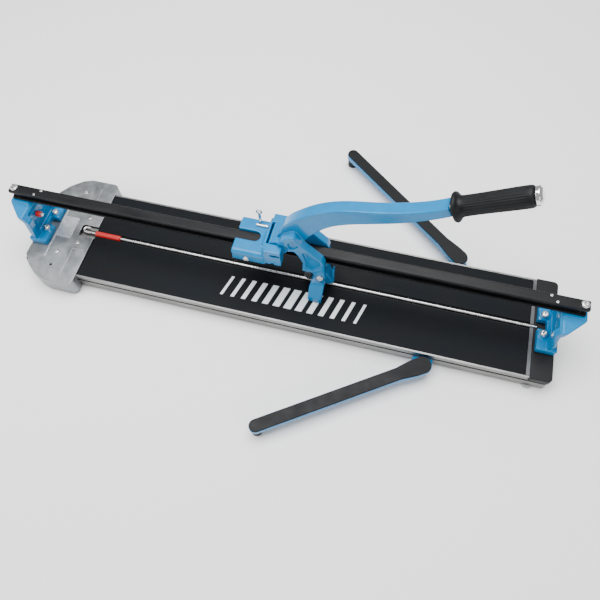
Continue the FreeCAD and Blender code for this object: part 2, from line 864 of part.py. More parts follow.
def make_roller_axles():
    axles = []
    inner = rail_web / 2 + 1
    for side in (-1, 1):
        for u in roller_offsets:
            x = px(u)
            tail = block_outer if u == roller_offsets[0] else block_inner + roller_shelf_width
            a, b = sorted((side * inner, side * tail))
            axle = disc_y(x, a, b, groove_z(), axle_radius)
            if u == roller_offsets[0]:
                a, b = sorted((side * tail, side * (tail + axle_head_height)))
                axle = axle.fuse(disc_y(x, a, b, groove_z(), axle_head_radius))
            axles.append(axle.removeSplitter())
    return group(axles)


def make_roller(side, u):
    inner = rail_web / 2 + 0.75
    a, b = sorted((side * inner, side * (inner + roller_width)))
    wheel = disc_y(px(u), a, b, groove_z(), roller_radius)
    wheel = softened(wheel, 0.5, lambda e: e.BoundBox.YLength < 1e-6)
    return wheel.cut(disc_y(px(u), a - 1, b + 1, groove_z(), axle_radius + running_clearance))


def make_pivot_pin():
    return disc_y(px(0), -cheek_outer + pivot_blind + 0.7, cheek_outer - 5, pivot_z, pivot_radius)


def make_pivot_plug():
    x = px(0)
    plug = disc_y(x, cheek_outer - 5, cheek_outer - 0.5, pivot_z, pivot_radius)
    turns = [math.radians(60 * i) for i in range(6)]
    hexagon = [(x + 3 * math.cos(t), pivot_z + 3 * math.sin(t), 0) for t in turns]
    return plug.cut(prism(hexagon, "xz", cheek_outer - 3.5, cheek_outer + 1))


# ---------------------------------------------------------------- lever

def spline(points, level):
    curve = Part.BSplineCurve()
    curve.interpolate([point(px(u), level, pz(w)) for u, w in points])
    return curve.toShape()


def handle_face(level):
    top = [(5, 34), (16, 60), (34, 80), (66, 106), (98, 122), (158, 137), (214, 156), (253, 178)]
    bottom = [(262, 162), (221, 136), (193, 122), (135, 100), (88, 76), (60, 45), (41, 15)]
    hub = [(28, 4), (0, 0), (-6, 15), (5, 34)]
    edges = [spline(top, level)]
    edges.append(Part.LineSegment(point(px(253), level, pz(178)), point(px(262), level, pz(162))).toShape())
    edges.append(spline(bottom, level))
    run = [bottom[-1]] + hub
    for a, b in zip(run, run[1:]):
        start = point(px(a[0]), level, pz(a[1]))
        edges.append(Part.LineSegment(start, point(px(b[0]), level, pz(b[1]))).toShape())
    return Part.Face(Part.Wire(Part.__sortEdges__(edges)))


def make_handle():
    half = handle_width / 2
    handle = handle_face(-half).extrude(point(0, handle_width, 0))

    def long_edge(edge):
        box = edge.BoundBox
        return box.YLength < 1e-6 and box.XLength > 150

    return softened(handle, 2.0, long_edge)


def arm_outline():
    return [(px(0), pz(14), 0), (px(8), pz(30), 4), (px(29), pz(49), 6), (px(43), pz(27), 4),
            (px(79), pz(-10), 5), (px(83), pz(-22), 4), (px(bolt_x + boss_radius - 1), pz(bolt_z + 4), 0),
            (px(bolt_x + 6), pz(bolt_z - 7), 6), (px(bolt_x - 8), pz(bolt_z - 6), 6),
            (px(61), pz(-52), 3), (px(43), pz(-54), 3), (px(45), pz(-26), 6), (px(39), pz(-10), 8),
            (px(30), pz(6), 6), (px(22), pz(2), 4), (px(0), pz(-8), 0)]


def pocket_outline():
    """The upper hollow of the arm's outer face, between hub and flange."""
    return [(px(22), pz(10), 2), (px(30), pz(12), 2), (px(38), pz(22), 2), (px(30), pz(34), 3),
            (px(20), pz(26), 2)]


def long_pocket_outline():
    """The lower hollow of the arm's outer face, down to the foot's bolt."""
    return [(px(45), pz(3), 3), (px(51), pz(9), 2), (px(76), pz(-16), 3), (px(77), pz(-32), 3),
            (px(66), pz(-44), 3), (px(52), pz(-40), 3), (px(50), pz(-20), 4)]


def make_fork_arm():
    """The rear arm of the fork: narrow between the cheeks, wide beyond them."""
    full = prism(arm_outline(), "xz", arm_inner, arm_outer)
    near = block(px(-30), px(arm_widens_at), arm_narrow, arm_outer + 1, pz(-90), pz(16))
    arm = full.cut(near)
    arm = arm.cut(prism(pocket_outline(), "xz", arm_outer - pocket_depth, arm_outer + 1))
    arm = arm.cut(prism(long_pocket_outline(), "xz", arm_outer - pocket_depth, arm_outer + 1))
    boss = disc_y(px(bolt_x), arm_inner, arm_outer + 1, pz(bolt_z), boss_radius)
    return arm.fuse(boss)


def holder_top():
    return pz(-53)


def make_lever_casting():
    hub = disc_y(px(0), -hub_half_width, hub_half_width, pivot_z, hub_radius)
    hub = softened(hub, 1.5, lambda e: e.BoundBox.YLength < 1e-6)
    rail_space = block(px(-30), px(30), -block_inner - 0.5, block_inner + 0.5, pz(-40), pz(hub_flat))
    hub = hub.cut(rail_space)
    casting = hub.fuse(make_handle())
    casting = casting.fuse(both_sides(make_fork_arm()))
    bridge = [(px(26), pz(6), 0), (px(38), pz(16), 0), (px(44), pz(26), 0), (px(30), pz(46), 0),
              (px(8), pz(28), 0), (px(0), pz(0), 0)]
    casting = casting.fuse(prism(bridge, "xz", -arm_inner - 1, arm_inner + 1))
    cross = block(px(43), px(61), -arm_inner - 1, arm_inner + 1, pz(-68), holder_top())
    casting = casting.fuse(cross)
    casting = casting.cut(holder_slot(bolt_clearance))
    casting = casting.cut(disc_y(px(0), -50, 50, pivot_z, pivot_radius + bush_wall + running_clearance))
    casting = casting.cut(disc_y(px(bolt_x), -50, 50, pz(bolt_z), foot_bolt_radius + bolt_clearance))
    casting = casting.cut(tang(bolt_clearance))
    return casting.removeSplitter()


def make_pivot_bush():
    bush = disc_y(px(0), -hub_half_width, hub_half_width, pivot_z, pivot_radius + bush_wall)
    return bush.cut(disc_y(px(0), -50, 50, pivot_z, pivot_radius + running_clearance))


def grip_axis():
    turn = math.radians(grip_angle)
    return point(math.cos(turn), 0, math.sin(turn))


def grip_start():
    return point(px(grip_x - 6), 0, pz(grip_z - 3.5))


def tang(gap):
    """The steel tang that runs from the casting into the grip."""
    back = grip_start() - grip_axis() * 22
    return Part.makeCylinder(tang_radius + gap, grip_length + 10 + gap, back, grip_axis())


def turned(profile, start):
    """A solid turned about the grip's axis from points (distance, radius, corner radius)."""
    face = Part.Face(outline([(d, r, c) for d, r, c in profile], "xz", 0))
    body = face.revolve(point(0, 0, 0), point(1, 0, 0), 360)
    body.Placement = FreeCAD.Placement(start, FreeCAD.Rotation(point(1, 0, 0), grip_axis()))
    return body


def make_tang():
    return tang(0)


def make_grip():
    bore = tang_radius + bolt_clearance
    profile = [(0, bore, 0), (0, flange_radius - 2, 2), (3, flange_radius, 2),
               (flange_length, flange_radius - 3, 2), (flange_length + 3, grip_radius - 1, 3),
               (grip_length * 0.5, grip_radius + 0.5, 200), (grip_length - 3, grip_radius, 4),
               (grip_length, grip_radius - 2, 1.5), (grip_length, bore, 0)]
    return turned(profile, grip_start())


def make_end_cap():
    start = grip_start() + grip_axis() * grip_length
    profile = [(0, 0, 0), (0, cap_radius, 0.5), (cap_length - 3, cap_radius, 1.5),
               (cap_length, cap_radius - 5, 2), (cap_length, 0, 0)]
    return turned(profile, start)


def holder_slot(gap):
    half_l = holder_length / 2 + gap
    half_w = holder_width / 2 + gap
    return block(px(wheel_x) - half_l, px(wheel_x) + half_l, -half_w, half_w, pz(-90), pz(-30))


def make_wheel_holder():
    x = px(wheel_x)
    half_l = holder_length / 2
    half_w = holder_width / 2
    low = wheel_z - 4.5
    side = [(x - half_l, low, 4), (x + half_l, low, 4), (x + half_l, holder_top(), 1),
            (x - half_l, holder_top(), 1)]
    body = prism(side, "xz", -half_w, half_w)
    gap = holder_fork / 2
    body = body.cut(block(x - half_l - 1, x + half_l + 1, -gap, gap, low - 1, wheel_z + wheel_radius + 2))
    return body.cut(disc_y(x, -20, 20, wheel_z, wheel_axle_radius + bolt_clearance))


def make_wheel_axle():
    x = px(wheel_x)
    half = holder_width / 2
    pin = disc_y(x, -half, half + 0.5, wheel_z, wheel_axle_radius)
    return pin.fuse(disc_y(x, half + 0.1, half + 2, wheel_z, wheel_axle_radius + 1.5)).removeSplitter()


def make_scoring_wheel():
    """A carbide wheel whose rim comes to an edge."""
    x = px(wheel_x)
    half = wheel_width / 2
    inner = wheel_axle_radius + running_clearance
    profile = [(inner, -half), (wheel_radius - 2.2, -half), (wheel_radius, -0.15), (wheel_radius, 0.15),
               (wheel_radius - 2.2, half), (inner, half)]
    corners = [point(x + r, y, wheel_z) for r, y in profile]
    wire = Part.makePolygon(corners + [corners[0]])
    return Part.Face(wire).revolve(point(x, 0, wheel_z), point(0, 1, 0), 360)


def make_foot_bolt():
    x = px(bolt_x)
    z = pz(bolt_z)
    out = arm_outer + 1
    shank = disc_y(x, -out, out + 7, z, foot_bolt_radius)
    head = disc_y(x, -out - foot_bolt_head_height, -out, z, foot_bolt_head_radius)
    head = softened(head, 1.5, lambda e: e.BoundBox.YMax < -out - foot_bolt_head_height + 1e-6)
    return shank.fuse(head).removeSplitter()


def make_foot_nut():
    x = px(bolt_x)
    z = pz(bolt_z)
    out = arm_outer + 1
    turns = [math.radians(60 * i + 30) for i in range(6)]
    hexagon = [(x + 7.5 * math.cos(t), z + 7.5 * math.sin(t), 0.5) for t in turns]
    nut = prism(hexagon, "xz", out, out + 6)
    return nut.cut(disc_y(x, out - 1, out + 7, z, foot_bolt_radius + running_clearance))


# ---------------------------------------------------------------- breaker foot

def make_breaker_foot():
    """A saddle on the lever's foot bolt: a hub, two wings that press the tile down, and an upright tab."""
    x = px(bolt_x)
    z = pz(bolt_z)
    sole = deck + foot_sole_gap - z
    half = foot_body_half
    low = sole - 3
    body = [(wing_left + 4, -12, 3), (-foot_hub_radius, -6, 3), (-foot_hub_radius, 3, 2),
            (foot_hub_radius, 3, 2), (9, -10, 4), (tab_x - tab_thickness, -30, 3), (tab_x, -46, 4),
            (wing_right, -50, 3), (wing_left + 8, -50, 3), (wing_left + 4, -30, 5)]
    centre = prism([(x + u, z + w, r) for u, w, r in body], "xz", -half + 0.5, half - 0.5)
    tab_left = x + tab_x - tab_thickness / 2
    tab = block(tab_left, tab_left + tab_thickness, tab_front, tab_back, z - 44, z + tab_top)
    tab = softened(tab, 1.0, lambda e: e.BoundBox.ZMin > z + tab_top - 1e-6)
    hub = disc_y(x, -half, half, z, foot_hub_radius)
    front = [(half - 4, -16, 0), (half + 5, -15, 3), (31, -21, 4), (wing_out, sole + 14, 4),
             (wing_out, low, 0), (wing_out - 10, low, 0), (34, sole + 10, 6), (half - 4, -42, 0)]
    wing = prism([(y, z + w, r) for y, w, r in front], "yz", x + wing_left, x + wing_right)
    taper = [(x + wing_left + 6, z - 10, 0), (x + wing_right - 2, z - 10, 0),
             (x + wing_right, z - 24, 3), (x + wing_right - 2, z + low - 1, 0),
             (x + wing_left, z + low - 1, 0), (x + wing_left, z - 30, 3)]
    wing = wing.common(prism(taper, "xz", 0, wing_out + 1))
    arc = disc_y(x, 0, wing_out + 1, z, -sole)
    wing = wing.common(arc)
    foot = centre.fuse(tab).fuse(hub).fuse(both_sides(wing))
    foot = foot.cut(disc_y(x, -60, 60, z, foot_bolt_radius + running_clearance))
    return foot.removeSplitter()


# ---------------------------------------------------------------- swing arms

def arm_top():
    return deck - arm_drop


def arm_under():
    return arm_top() - arm_height


def bracket_z():
    return arm_under() - bracket_thickness - 5


def make_bracket(x, side):
    """An angle bracket screwed to the tray's side, whose ledge the arm turns on."""
    high = arm_under() - part_gap
    low = high - bracket_thickness
    half = bracket_length / 2
    edge = half_base
    plan = [(x - half, edge, 0), (x + half, edge, 0), (x + half, arm_offset - 6, 6),
            (x + 12, arm_offset + 12, 8), (x - 12, arm_offset + 12, 8), (x - half, arm_offset - 6, 6)]
    ledge = prism(plan, "xy", low, high)
    flange = block(x - half, x + half, edge, edge + bracket_flange, low - 12, low)
    bracket = ledge.fuse(flange)
    for dx in (-half, half - 3):
        rib = prism([(edge + 1, low - 10, 0), (edge + 1, low + 1, 0), (edge + 14, low + 1, 0)], "yz",
                    x + dx, x + dx + 3)
        bracket = bracket.fuse(rib)
    bracket = bracket.cut(disc_z(x, arm_offset, low - 1, high + 1, arm_bolt_radius + bolt_clearance))
    screw_hole = bracket_screw_radius + bolt_clearance
    for sx in bracket_screw_places(x):
        bracket = bracket.cut(disc_y(sx, edge - 1, edge + bracket_flange + 1, bracket_z(), screw_hole))
    bracket = bracket.removeSplitter()
    return bracket if side > 0 else mirrored(bracket)


def make_bracket_screws():
    screws = []
    for x, side in ((front_arm_x, -1), (rear_arm_x, 1)):
        for sx in bracket_screw_places(x):
            face = half_base + bracket_flange
            shank = disc_y(sx, face - 10, face, bracket_z(), bracket_screw_radius)
            head = disc_y(sx, face, face + 2.5, bracket_z(), 4.5)
            screw = shank.fuse(head).removeSplitter()
            screws.append(screw if side > 0 else mirrored(screw))
    return group(screws)


def make_arm_bolts():
    """Each arm's pivot bolt, with its flat head sunk below the pad, and its nut under the bracket."""
    bolts = []
    head_low = arm_under() + arm_body_height() - arm_bolt_head_height - part_gap
    low = arm_under() - part_gap - bracket_thickness
    for x, side in ((front_arm_x, -1), (rear_arm_x, 1)):
        y = side * arm_offset
        bolt = disc_z(x, y, low - arm_nut_height, head_low, arm_bolt_radius)
        bolt = bolt.fuse(disc_z(x, y, head_low, head_low + arm_bolt_head_height, arm_bolt_head_radius))
        nut = disc_z(x, y, low - arm_nut_height, low - running_clearance, arm_bolt_head_radius)
        bolts.append(bolt.fuse(nut).removeSplitter())
    return group(bolts)


def arm_body_height():
    return arm_height - arm_pad_thickness


def arm_plan(arm_length, inset):
    """The folded arm from above, its pivot at the origin and its round tip at -X."""
    half = arm_width / 2 - inset
    boss = arm_boss_radius - inset
    tip = -arm_length - half
    return [(tip, -half, half - 0.01), (-arm_flare, -half, 30), (-boss, -boss + 1, 8),
            (boss, -boss, boss - 0.5), (boss, boss, boss - 0.5), (-boss, boss - 1, 8),
            (-arm_flare, half, 30), (tip, half, half - 0.01)]


def swing_arm_flat(arm_length):
    """The cast arm as folded, its underside at z = 0 and hollow between boss and tip."""
    high = arm_body_height()
    body = prism(arm_plan(arm_length, 0), "xy", 0, high)
    body = softened(body, 1.2, lambda e: e.BoundBox.ZMax < 1e-6)
    inner = arm_width / 2 - arm_wall
    tip = -arm_length
    hollow = block(tip + arm_foot_radius + 4, -arm_flare, -inner, inner, -1, high - arm_wall)
    body = body.cut(hollow)
    sunk = high - arm_bolt_head_height - 2 * part_gap
    body = body.cut(disc_z(0, 0, sunk, high + 1, arm_bolt_head_radius + part_gap))
    body = body.cut(disc_z(0, 0, -1, high + 1, arm_bolt_radius + running_clearance))
    return body.cut(disc_z(tip, 0, -1, high - arm_wall, arm_foot_radius - 4 + bolt_clearance))


def arm_pad_flat(arm_length):
    """The ribbed rubber pad glued to the arm's top, which the overhanging tile rests on."""
    high = arm_body_height()
    pad = prism(arm_plan(arm_length, arm_pad_inset), "xy", high, arm_height)
    return softened(pad, 0.8, lambda e: e.BoundBox.ZMin > arm_height - 1e-6)


def tip_foot_flat(arm_length):
    """The rubber foot under the arm's tip, pressed into its socket and reaching the floor."""
    tip = -arm_length
    post = disc_z(tip, 0, 0, arm_body_height() - arm_wall, arm_foot_radius - 4)
    leg = disc_z(tip, 0, -arm_under(), 0, arm_foot_radius)
    leg = softened(leg, 2.0, lambda e: e.BoundBox.ZMax < -arm_under() + 1e-6)
    return leg.fuse(post).removeSplitter()


def swung(shape, x, side, angle):
    """Turns a folded arm out from the base and sets it on its bracket."""
    shape = shape.copy()
    shape.rotate(point(0, 0, 0), point(0, 0, 1), -side * angle)
    shape.translate(point(x, side * arm_offset, arm_under()))
    return shape


# ---------------------------------------------------------------- all the pieces

def build():
    os.makedirs("parts", exist_ok=True)
    export("base_tray", make_base_tray())
    export("left_end_cap", make_left_end_cap())
    export("front_mat", make_mat(-1))
    export("rear_mat", make_mat(1))
    export("rod_bed", make_rod_bed())
    export("breaking_rod", make_breaking_rod())
    export("rod_sleeve", make_rod_sleeve())
    export("end_strip", make_end_strip())
    export("end_block", make_end_block())
    export("base_feet", make_base_feet())
    export("head_plate", make_head_plate())
    export("fence_strip", make_fence_strip())
    export("cover_plate", make_cover_plate())
    export("head_screws", make_head_screws())
    export("rail", make_rail())
    export("rail_bolts", make_rail_bolts())
    export("rail_screws", make_rail_screws())
    export("left_support", make_support(-1))
    export("right_support", make_support(1))
    export("support_bolts", make_support_bolts())
    export("stop_buffer", make_stop_buffer())
    export("buffer_bolt", make_buffer_bolt())
    export("carriage_body", make_carriage_body())
    export("roller_axles", make_roller_axles())
    export("pivot_pin", make_pivot_pin())
    export("pivot_plug", make_pivot_plug())
    export("barrel_pin", make_barrel_pin())
    export("lock_screw", make_lock_screw())
    for side, side_name in ((-1, "front"), (1, "rear")):
        for u, end_name in zip(roller_offsets, ("left", "right")):
            export("roller_" + side_name + "_" + end_name, make_roller(side, u))
    export("lever_casting", make_lever_casting())
    export("pivot_bush", make_pivot_bush())
    export("handle_tang", make_tang())
    export("grip", make_grip())
    export("end_cap", make_end_cap())
    export("wheel_holder", make_wheel_holder())
    export("wheel_axle", make_wheel_axle())
    export("scoring_wheel", make_scoring_wheel())
    export("foot_bolt", make_foot_bolt())
    export("foot_nut", make_foot_nut())
    export("breaker_foot", make_breaker_foot())
    arms = (("front", front_arm_x, -1, front_arm_angle, front_arm_length),
            ("rear", rear_arm_x, 1, rear_arm_angle, rear_arm_length))
    for name, x, side, angle, length in arms:
        export(name + "_bracket", make_bracket(x, side))
        export(name + "_swing_arm", swung(swing_arm_flat(length), x, side, angle))
        export(name + "_arm_pad", swung(arm_pad_flat(length), x, side, angle))
        export(name + "_arm_foot", swung(tip_foot_flat(length), x, side, angle))
    export("bracket_screws", make_bracket_screws())
    export("arm_bolts", make_arm_bolts())


build()
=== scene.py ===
import math

import bmesh
import bpy
from mathutils import Matrix, Vector


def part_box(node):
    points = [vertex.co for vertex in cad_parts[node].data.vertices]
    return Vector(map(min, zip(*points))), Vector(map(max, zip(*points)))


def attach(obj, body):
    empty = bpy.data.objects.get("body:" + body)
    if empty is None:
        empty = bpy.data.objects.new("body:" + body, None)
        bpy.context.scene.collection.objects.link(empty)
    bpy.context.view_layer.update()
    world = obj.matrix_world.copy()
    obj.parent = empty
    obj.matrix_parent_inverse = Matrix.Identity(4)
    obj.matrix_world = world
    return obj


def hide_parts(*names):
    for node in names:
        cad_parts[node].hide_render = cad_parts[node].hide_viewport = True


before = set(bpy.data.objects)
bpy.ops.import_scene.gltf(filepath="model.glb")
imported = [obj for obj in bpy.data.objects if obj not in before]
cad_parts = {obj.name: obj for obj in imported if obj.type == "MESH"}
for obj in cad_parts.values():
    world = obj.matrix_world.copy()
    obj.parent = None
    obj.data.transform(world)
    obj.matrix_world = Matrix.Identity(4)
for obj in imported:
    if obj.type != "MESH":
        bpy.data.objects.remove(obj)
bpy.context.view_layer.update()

# ---- Base tray
# A long aluminium extrusion with a lip along each side and a groove below it. It is brushed along its
# length and clear anodised, and handling has rubbed its edges brighter than its faces.


def finish(name, colour, roughness, metallic=0.0, coat=0.0, specular=0.5):
    """A new material with the shader's own values set."""
    material = bpy.data.materials.new(name)
    material.use_nodes = True
    shader = material.node_tree.nodes["Principled BSDF"]
    shader.inputs["Base Color"].default_value = (*colour, 1)
    shader.inputs["Roughness"].default_value = roughness
    shader.inputs["Metallic"].default_value = metallic
    shader.inputs["Coat Weight"].default_value = coat
    shader.inputs["Specular IOR Level"].default_value = specular
    return material


def node(material, kind, inputs, **settings):
    """Adds a shader node; each input is a value or another node's output."""
    made = material.node_tree.nodes.new("ShaderNode" + kind)
    for name, value in settings.items():
        setattr(made, name, value)
    for name, value in inputs.items():
        if isinstance(value, bpy.types.NodeSocket):
            material.node_tree.links.new(value, made.inputs[name])
        else:
            made.inputs[name].default_value = value
    return made


def drive(material, socket, value):
    shader = material.node_tree.nodes["Principled BSDF"]
    material.node_tree.links.new(value, shader.inputs[socket])


def grain(material, per_metre, detail=4.0, roughness=0.6):
    """Noise with its own number of cycles per metre along X, Y and Z."""
    place = node(material, "TexCoord", {}).outputs["Object"]
    scaled = node(material, "Mapping", {"Vector": place, "Scale": per_metre}).outputs["Vector"]
    noise = node(material, "TexNoise", {"Vector": scaled, "Scale": 1.0, "Detail": detail,
                                        "Roughness": roughness})
    return noise.outputs["Fac"]


def spread(material, value, low, high, start=0.3, end=0.7):
    """Turns a value between start and end into one between low and high."""
    ranged = node(material, "MapRange", {"Value": value, "From Min": start, "From Max": end,
                                         "To Min": low, "To Max": high})
    return ranged.outputs["Result"]


def blended(material, share, first, second):
    """One colour where share is 0 and the other where it is 1."""
    mix = node(material, "MixRGB", {"Fac": share, "Color1": first, "Color2": second})
    return mix.outputs["Color"]


def solid(colour):
    return (*colour, 1)


def edge_wear(material, radius, start=0.985, end=0.90):
    """Is 1 on sharp outer and inner edges and 0 on flat faces."""
    rounded = node(material, "Bevel", {"Radius": radius}, samples=4).outputs["Normal"]
    plain = node(material, "NewGeometry", {}).outputs["Normal"]
    same = node(material, "VectorMath", {0: rounded, 1: plain}, operation="DOT_PRODUCT").outputs["Value"]
    return spread(material, same, 0.0, 1.0, start, end)


def relief(material, edge_radius, *layers):
    """Rounds the edges and adds bumps, each layer a height with its depth in metres and its strength."""
    normal = node(material, "Bevel", {"Radius": edge_radius}, samples=4).outputs["Normal"]
    for height, depth, strength in layers:
        normal = node(material, "Bump", {"Height": height, "Distance": depth, "Strength": strength,
                                         "Normal": normal}).outputs["Normal"]
    drive(material, "Normal", normal)


def coat_nodes(material, *names):
    for name in names:
        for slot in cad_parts[name].material_slots:
            slot.material = material


aluminium = finish("brushed_aluminium", (0.21, 0.21, 0.205), 0.36, metallic=1.0)
brush_lines = grain(aluminium, (5, 1400, 1400), detail=3.0)
handling = grain(aluminium, (14, 30, 30), detail=5.0)
rubbed = edge_wear(aluminium, 0.0008)
tone = blended(aluminium, spread(aluminium, handling, 0.0, 1.0), solid((0.16, 0.16, 0.155)),
               solid((0.26, 0.26, 0.255)))
drive(aluminium, "Base Color", blended(aluminium, rubbed, tone, solid((0.52, 0.52, 0.51))))
drive(aluminium, "Roughness", spread(aluminium, brush_lines, 0.28, 0.46))
relief(aluminium, 0.0004, (brush_lines, 0.0001, 0.25))
coat_nodes(aluminium, "base_tray")

# ---- Mats
# Two sheets of dense foam rubber laid on the tray, one each side of the rod's channel. Their skin is
# finely pebbled, with a patchy dusty bloom and a few fine scuffs.

mat_rubber = finish("mat_rubber", (0.003, 0.004, 0.006), 0.6, specular=0.12)
pebble = node(mat_rubber, "TexVoronoi", {"Vector": node(mat_rubber, "TexCoord", {}).outputs["Object"],
                                         "Scale": 900.0}).outputs["Distance"]
bloom = grain(mat_rubber, (9, 22, 22), detail=6.0, roughness=0.65)
scuffs = grain(mat_rubber, (40, 600, 40), detail=2.0)
dusty = blended(mat_rubber, spread(mat_rubber, bloom, 0.0, 1.0, 0.38, 0.72), solid((0.0022, 0.003, 0.004)),
                solid((0.0048, 0.007, 0.010)))
scuffed = spread(mat_rubber, scuffs, 0.0, 0.5, 0.62, 0.8)
drive(mat_rubber, "Base Color", blended(mat_rubber, scuffed, dusty, solid((0.013, 0.016, 0.020))))
drive(mat_rubber, "Roughness", spread(mat_rubber, bloom, 0.50, 0.70))
relief(mat_rubber, 0.0005, (pebble, 0.00015, 0.3), (bloom, 0.0004, 0.15))
coat_nodes(mat_rubber, "front_mat", "rear_mat")

# ---- Marking on the front mat
# A row of slanted white bars screen-printed on the front mat, the widest in the middle. It is a plain
# decoration, and the ink lies a tenth of a millimetre thick on the rubber.


def new_object(name, mesh):
    made = bpy.data.objects.new(name, mesh)
    bpy.context.scene.collection.objects.link(made)
    return made


def size_inputs(tree, sizes):
    """Gives a geometry tree its named inputs and returns the node that hands them out."""
    for name, value in sizes.items():
        kind = "NodeSocketInt" if isinstance(value, int) else "NodeSocketFloat"
        tree.interface.new_socket(name, in_out="INPUT", socket_type=kind)
    tree.interface.new_socket("Geometry", in_out="OUTPUT", socket_type="NodeSocketGeometry")
    return tree.nodes.new("NodeGroupInput")


def step(tree, kind, inputs, **settings):
    """Adds a geometry node; each input is a value or another node's output."""
    made = tree.nodes.new(kind)
    for name, value in settings.items():
        setattr(made, name, value)
    for name, value in inputs.items():
        if isinstance(value, bpy.types.NodeSocket):
            tree.links.new(value, made.inputs[name])
        else:
            made.inputs[name].default_value = value
    return made


def sum_of(tree, operation, first, second):
    return step(tree, "ShaderNodeMath", {0: first, 1: second}, operation=operation).outputs[0]


def grown(name, tree, sizes, last, material):
    """Runs a geometry tree and keeps its result as a plain mesh."""
    real = step(tree, "GeometryNodeRealizeInstances", {"Geometry": last})
    covered = step(tree, "GeometryNodeSetMaterial", {"Geometry": real.outputs[0], "Material": material})
    ending = tree.nodes.new("NodeGroupOutput")
    tree.links.new(covered.outputs[0], ending.inputs[0])
    piece = new_object(name, bpy.data.meshes.new(name))
    modifier = piece.modifiers.new(name, "NODES")
    modifier.node_group = tree
    for item in tree.interface.items_tree:
        if item.in_out == "INPUT" and item.name in sizes:
            modifier[item.identifier] = sizes[item.name]
    graph = bpy.context.evaluated_depsgraph_get()
    mesh = bpy.data.meshes.new_from_object(piece.evaluated_get(graph))
    piece.modifiers.remove(modifier)
    piece.data = mesh
    return piece


mat_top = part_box("front_mat")[1][2]
bar_sizes = {"Bars": 13, "Pitch": 0.0215, "Bar width": 0.0115, "Bar length": 0.042, "Ink": 0.0001,
             "Slant": 0.28, "Left": -0.096, "Middle": -0.050, "Height": mat_top}
widest_bar = 1.25
narrowing_per_bar = 0.13
bars = bpy.data.node_groups.new("mat_marking", "GeometryNodeTree")
given = size_inputs(bars, bar_sizes).outputs
spacing = step(bars, "ShaderNodeCombineXYZ", {"X": given["Pitch"]})
ink_level = sum_of(bars, "ADD", given["Height"], sum_of(bars, "MULTIPLY", given["Ink"], 0.5))
first_bar = step(bars, "ShaderNodeCombineXYZ", {"X": given["Left"], "Z": ink_level})
row = step(bars, "GeometryNodeMeshLine", {"Count": given["Bars"], "Start Location": first_bar.outputs[0],
                                          "Offset": spacing.outputs[0]})
bar_size = step(bars, "ShaderNodeCombineXYZ", {"X": given["Bar width"], "Y": given["Bar length"],
                                               "Z": given["Ink"]})
bar = step(bars, "GeometryNodeMeshCube", {"Size": bar_size.outputs[0], "Vertices Y": 2})
number = step(bars, "GeometryNodeInputIndex", {}).outputs[0]
half_way = sum_of(bars, "MULTIPLY", sum_of(bars, "SUBTRACT", given["Bars"], 1), 0.5)
off_middle = step(bars, "ShaderNodeMath", {0: sum_of(bars, "SUBTRACT", number, half_way)},
                  operation="ABSOLUTE").outputs[0]
narrowing = sum_of(bars, "SUBTRACT", widest_bar, sum_of(bars, "MULTIPLY", off_middle, narrowing_per_bar))
widths = step(bars, "ShaderNodeCombineXYZ", {"X": narrowing, "Y": 1.0, "Z": 1.0})
placed_bars = step(bars, "GeometryNodeInstanceOnPoints", {"Points": row.outputs["Mesh"],
                                                          "Instance": bar.outputs["Mesh"],
                                                          "Scale": widths.outputs[0]})
loose_bars = step(bars, "GeometryNodeRealizeInstances", {"Geometry": placed_bars.outputs[0]})
bar_points = step(bars, "GeometryNodeInputPosition", {}).outputs[0]
where = step(bars, "ShaderNodeSeparateXYZ", {"Vector": bar_points})
lean = step(bars, "ShaderNodeCombineXYZ", {"X": sum_of(bars, "MULTIPLY", where.outputs["Y"], given["Slant"]),
                                           "Y": given["Middle"]})
leaning = step(bars, "GeometryNodeSetPosition", {"Geometry": loose_bars.outputs[0],
                                                 "Offset": lean.outputs[0]})

ink = finish("white_ink", (0.72, 0.76, 0.80), 0.55)
ink_wear = grain(ink, (300, 300, 300), detail=5.0)
drive(ink, "Base Color", blended(ink, spread(ink, ink_wear, 0.0, 0.5, 0.62, 0.8),
                                 solid((0.74, 0.78, 0.82)), solid((0.30, 0.32, 0.35))))
relief(ink, 0.0001, (ink_wear, 0.0001, 0.2))
mat_marking = grown("mat_marking", bars, bar_sizes, leaning.outputs[0], ink)
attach(mat_marking, "base")

# ---- Breaking rod, its sleeve and its bed
# A bright drawn steel bar lies in the channel between the mats, bent back at the left end. A glossy red
# sleeve covers its first stretch, and a dark strip below fills the channel.

bright_steel = finish("bright_steel", (0.72, 0.72, 0.73), 0.24, metallic=1.0)
turning = grain(bright_steel, (20, 1500, 1500), detail=2.0)
smudges = grain(bright_steel, (90, 90, 90), detail=5.0)
drive(bright_steel, "Base Color", blended(bright_steel, spread(bright_steel, smudges, 0.0, 1.0),
                                          solid((0.60, 0.60, 0.61)), solid((0.80, 0.80, 0.80))))
drive(bright_steel, "Roughness", spread(bright_steel, smudges, 0.16, 0.36))
relief(bright_steel, 0.0003, (turning, 0.00002, 0.1))
coat_nodes(bright_steel, "breaking_rod")

red_plastic = finish("red_plastic", (0.50, 0.008, 0.012), 0.3, coat=0.3)
rubs = grain(red_plastic, (60, 300, 300), detail=5.0)
drive(red_plastic, "Base Color", blended(red_plastic, spread(red_plastic, rubs, 0.0, 1.0, 0.45, 0.75),
                                         solid((0.50, 0.008, 0.012)), solid((0.60, 0.035, 0.022))))
drive(red_plastic, "Roughness", spread(red_plastic, rubs, 0.24, 0.45))
relief(red_plastic, 0.0004, (rubs, 0.0001, 0.15))
coat_nodes(red_plastic, "rod_sleeve", "stop_buffer")

